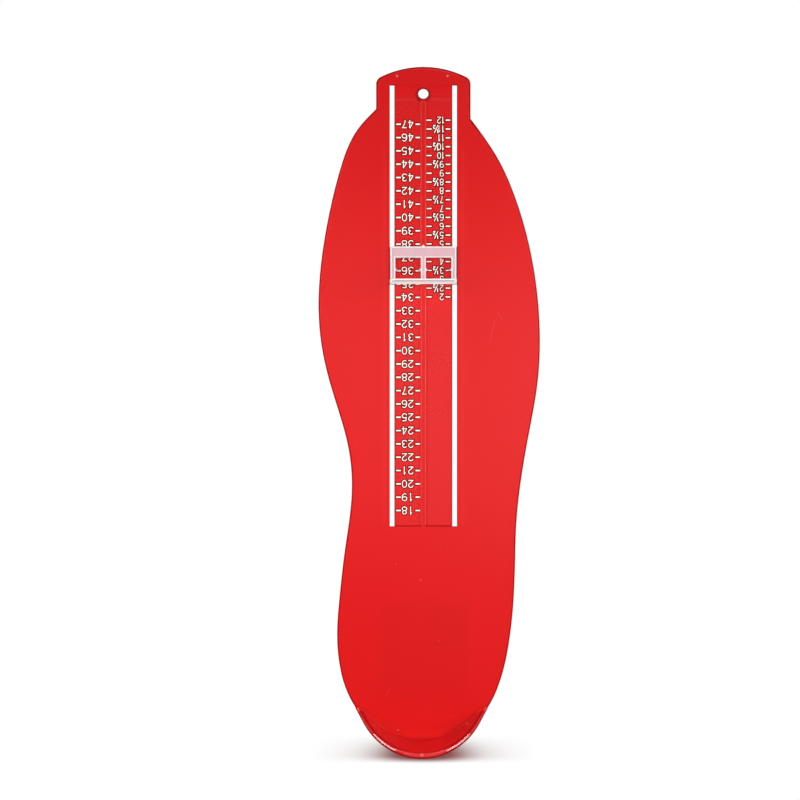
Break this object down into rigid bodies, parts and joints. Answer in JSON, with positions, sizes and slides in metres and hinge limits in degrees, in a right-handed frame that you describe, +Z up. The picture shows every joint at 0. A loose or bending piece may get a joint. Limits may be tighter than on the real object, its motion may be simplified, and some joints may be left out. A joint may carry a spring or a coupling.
{
  "type": "foot measuring device",
  "caption": "Foot-shaped gauge plate with a heel wall and a hanging tab; a windowed toe slide with an upright stop runs in long slots over a size scale.",
  "frame": {"origin": "on the ground under the middle of the bounding box", "axes": "+Y from the heel wall to the hanging tab, +Z up from the ground, +X across the foot plate to its longer side"},
  "size_m": [0.1109, 0.34, 0.0333],
  "materials": {
    "plate": "glossy red moulded plastic",
    "slide": "milky see-through moulded plastic",
    "ink": "white printed ink"
  },
  "bodies": {
    "gauge": {"foot_plate": "plate"},
    "slide": {"slide_window": "slide", "slide_clip": "slide"}
  },
  "joints": [
    {"name": "toe_slide", "type": "slide", "parent": "gauge", "child": "slide", "axis": [0, 1, 0], "range_m": [-0.121, 0.0806]}
  ]
}
